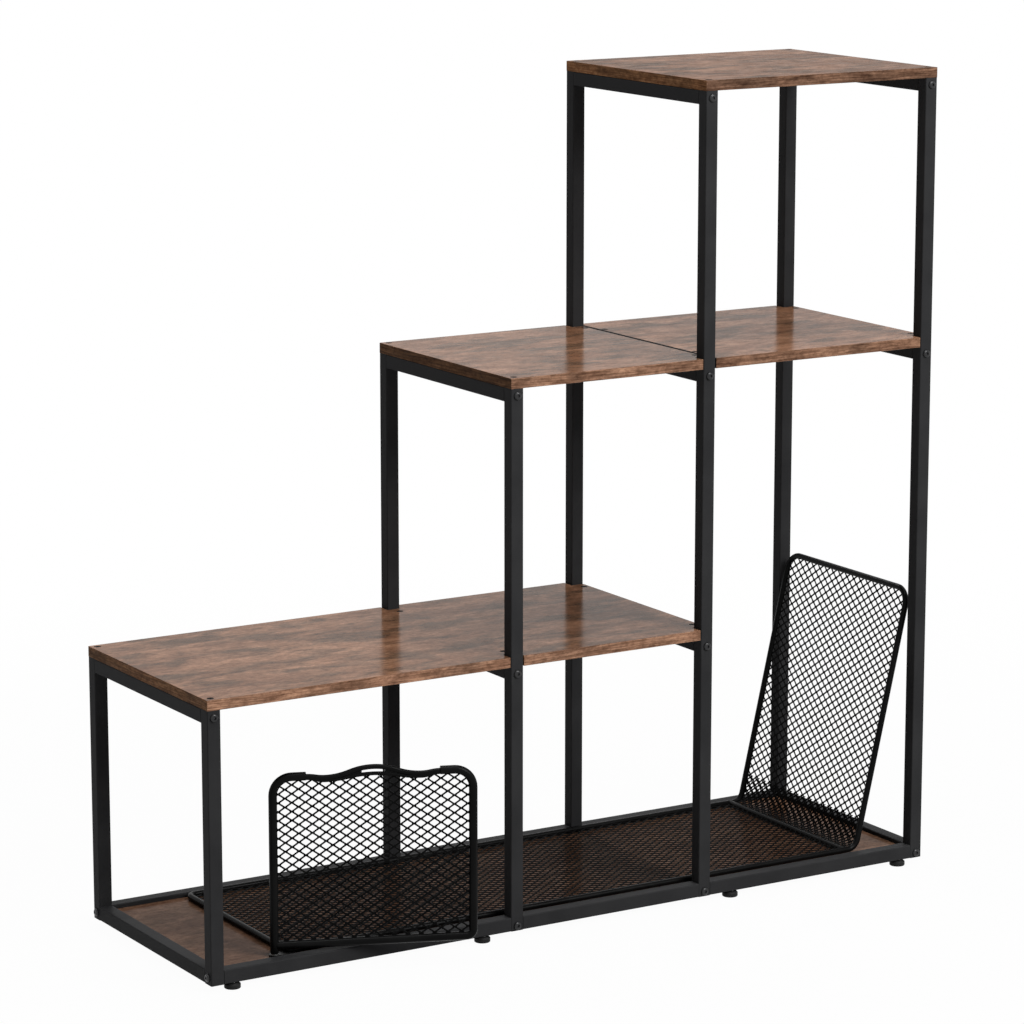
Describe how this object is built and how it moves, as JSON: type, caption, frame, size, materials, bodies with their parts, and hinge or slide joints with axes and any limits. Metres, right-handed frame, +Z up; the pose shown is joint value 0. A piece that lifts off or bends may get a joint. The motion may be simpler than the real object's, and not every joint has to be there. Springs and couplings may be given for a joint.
{
  "type": "shelving unit",
  "caption": "Stepped steel-tube shelving unit with wood boards on rising levels, a wire-mesh base tray with a leaning end panel, and a swinging mesh divider.",
  "frame": {"origin": "middle of the footprint's bounding box, on the floor under the levelling feet", "axes": "+Z up, +X along the shelves from the low end to the tall end, +Y from the open front, where the divider swings out, to the back"},
  "size_m": [1.2066, 0.4447, 1.2],
  "materials": {
    "frame_black": "satin black powder coat",
    "board_wood": "satin walnut-pattern laminate",
    "bolt_black": "black oxide, semi-gloss",
    "plain_steel": "zinc plated",
    "plug_plastic": "matt",
    "mesh_black": "semi-gloss black coat",
    "foot_plastic": "matt"
  },
  "bodies": {
    "frame": {"post_a_front": "frame_black", "post_a_back": "frame_black", "post_b_front": "frame_black", "post_b_back": "frame_black", "post_c_front": "frame_black", "post_c_back": "frame_black", "post_d_front": "frame_black", "post_d_back": "frame_black", "side_rail_a_base": "frame_black", "side_rail_a_low": "frame_black", "side_rail_b_low": "frame_black", "side_rail_b_mid": "frame_black", "side_rail_c_low": "frame_black", "side_rail_c_mid": "frame_black", "side_rail_c_top": "frame_black", "side_rail_d_base": "frame_black", "side_rail_d_mid": "frame_black", "side_rail_d_top": "frame_black", "base_rail_ab_front": "frame_black", "base_rail_ab_back": "frame_black", "base_rail_bc_front": "frame_black", "base_rail_bc_back": "frame_black", "base_rail_cd_front": "frame_black", "base_rail_cd_back": "frame_black", "base_strap_b": "frame_black", "base_strap_c": "frame_black", "low_shelf_board": "board_wood", "mid_shelf_board_left": "board_wood", "mid_shelf_board_right": "board_wood", "top_shelf_board": "board_wood", "base_board_long": "board_wood", "base_board_short": "board_wood", "board_tabs": "frame_black", "side_rail_bolts": "bolt_black", "end_bolts": "bolt_black", "rail_end_plugs": "plain_steel", "rail_joint_pins": "plain_steel", "post_top_plugs": "plug_plastic", "post_bottom_plugs": "plug_plastic", "board_screws": "bolt_black", "strap_nuts": "plain_steel", "foot_inserts": "plain_steel"},
    "tray": {"tray_rim": "mesh_black", "tray_mesh": "mesh_black", "fold_bar": "mesh_black", "fold_mesh": "mesh_black", "end_panel_mesh": "mesh_black", "pivot_pin": "plain_steel"},
    "divider": {"divider_frame": "mesh_black", "divider_handle": "mesh_black", "divider_mesh": "mesh_black"},
    "foot_left_front_body": {"foot_left_front": "foot_plastic"},
    "foot_left_back_body": {"foot_left_back": "foot_plastic"},
    "foot_mid_left_front_body": {"foot_mid_left_front": "foot_plastic"},
    "foot_mid_left_back_body": {"foot_mid_left_back": "foot_plastic"},
    "foot_mid_right_front_body": {"foot_mid_right_front": "foot_plastic"},
    "foot_mid_right_back_body": {"foot_mid_right_back": "foot_plastic"},
    "foot_right_front_body": {"foot_right_front": "foot_plastic"},
    "foot_right_back_body": {"foot_right_back": "foot_plastic"}
  },
  "joints": [
    {"name": "tray_lift", "type": "slide", "parent": "frame", "child": "tray", "axis": [0, 0, 1], "range_m": [0, 0.05]},
    {"name": "divider_hinge", "type": "hinge", "parent": "tray", "child": "divider", "pos_m": [-0.484, -0.11493, 0.0337], "axis": [0, 0, 1], "range_deg": [-68.6, 111.4]},
    {"name": "foot_left_front_turn", "type": "hinge", "parent": "frame", "child": "foot_left_front_body", "pos_m": [-0.563, -0.14093, 0.0089], "axis": [0, 0, 1], "continuous": true},
    {"name": "foot_left_back_turn", "type": "hinge", "parent": "frame", "child": "foot_left_back_body", "pos_m": [-0.563, 0.20907, 0.0089], "axis": [0, 0, 1], "continuous": true},
    {"name": "foot_mid_left_front_turn", "type": "hinge", "parent": "frame", "child": "foot_mid_left_front_body", "pos_m": [-0.166, -0.14093, 0.0089], "axis": [0, 0, 1], "continuous": true},
    {"name": "foot_mid_left_back_turn", "type": "hinge", "parent": "frame", "child": "foot_mid_left_back_body", "pos_m": [-0.166, 0.20907, 0.0089], "axis": [0, 0, 1], "continuous": true},
    {"name": "foot_mid_right_front_turn", "type": "hinge", "parent": "frame", "child": "foot_mid_right_front_body", "pos_m": [0.258, -0.14093, 0.0089], "axis": [0, 0, 1], "continuous": true},
    {"name": "foot_mid_right_back_turn", "type": "hinge", "parent": "frame", "child": "foot_mid_right_back_body", "pos_m": [0.258, 0.20907, 0.0089], "axis": [0, 0, 1], "continuous": true},
    {"name": "foot_right_front_turn", "type": "hinge", "parent": "frame", "child": "foot_right_front_body", "pos_m": [0.563, -0.14093, 0.0089], "axis": [0, 0, 1], "continuous": true},
    {"name": "foot_right_back_turn", "type": "hinge", "parent": "frame", "child": "foot_right_back_body", "pos_m": [0.563, 0.20907, 0.0089], "axis": [0, 0, 1], "continuous": true}
  ]
}
